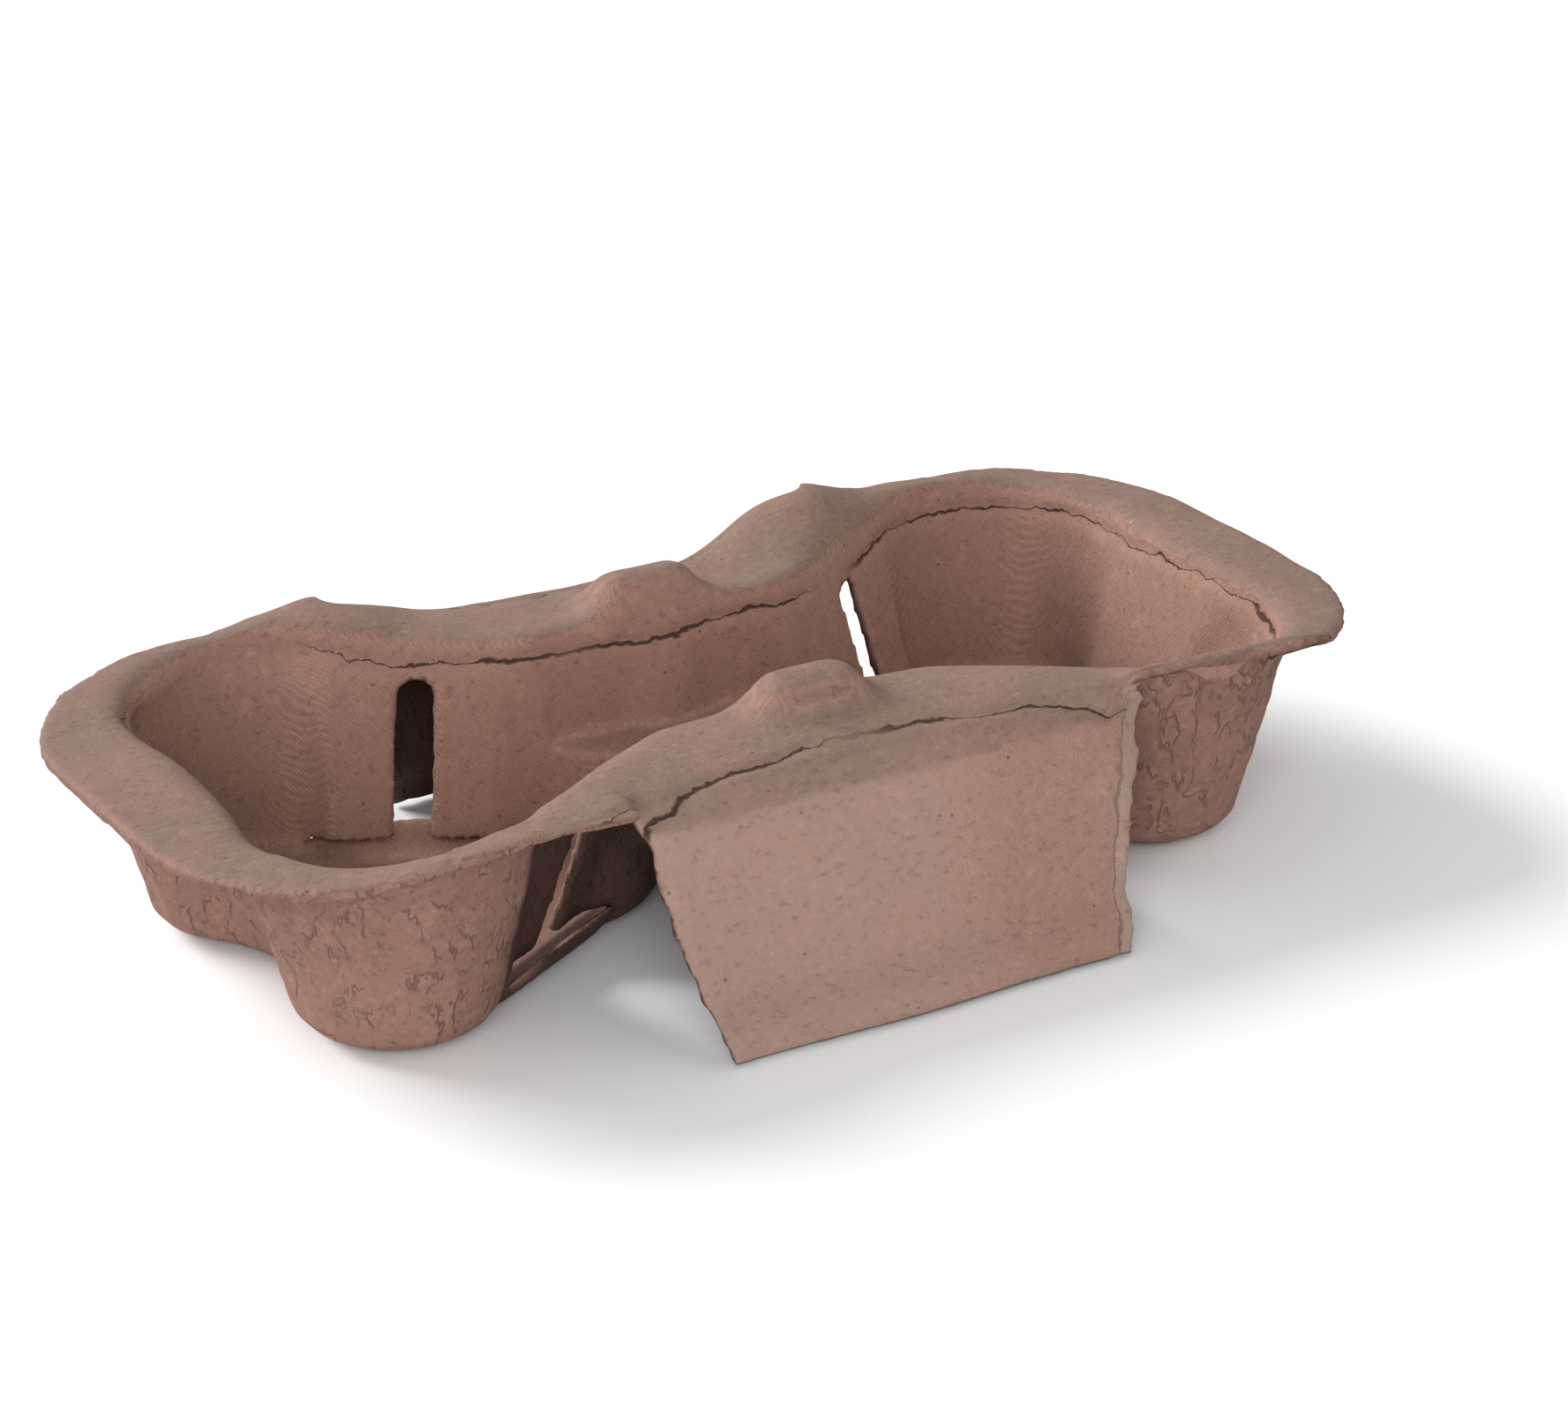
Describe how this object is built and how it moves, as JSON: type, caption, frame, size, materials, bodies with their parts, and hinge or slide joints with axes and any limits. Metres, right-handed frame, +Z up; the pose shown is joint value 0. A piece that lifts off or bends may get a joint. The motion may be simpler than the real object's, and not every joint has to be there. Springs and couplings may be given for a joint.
{
  "type": "moulded pulp cup carrier",
  "caption": "Moulded fibre tray with lobed, slotted sockets for cups, a joining trough, raised tabs and flared side skirts.",
  "frame": {"origin": "on the table below the middle of the carrier", "axes": "+X along the row of sockets, +Y across it, +Z up"},
  "size_m": [0.197, 0.115, 0.0415],
  "materials": {
    "pulp": "matt brown moulded fibre with a fine weave on its upper side"
  },
  "bodies": {
    "root": {"cup_carrier": "pulp"}
  },
  "joints": []
}
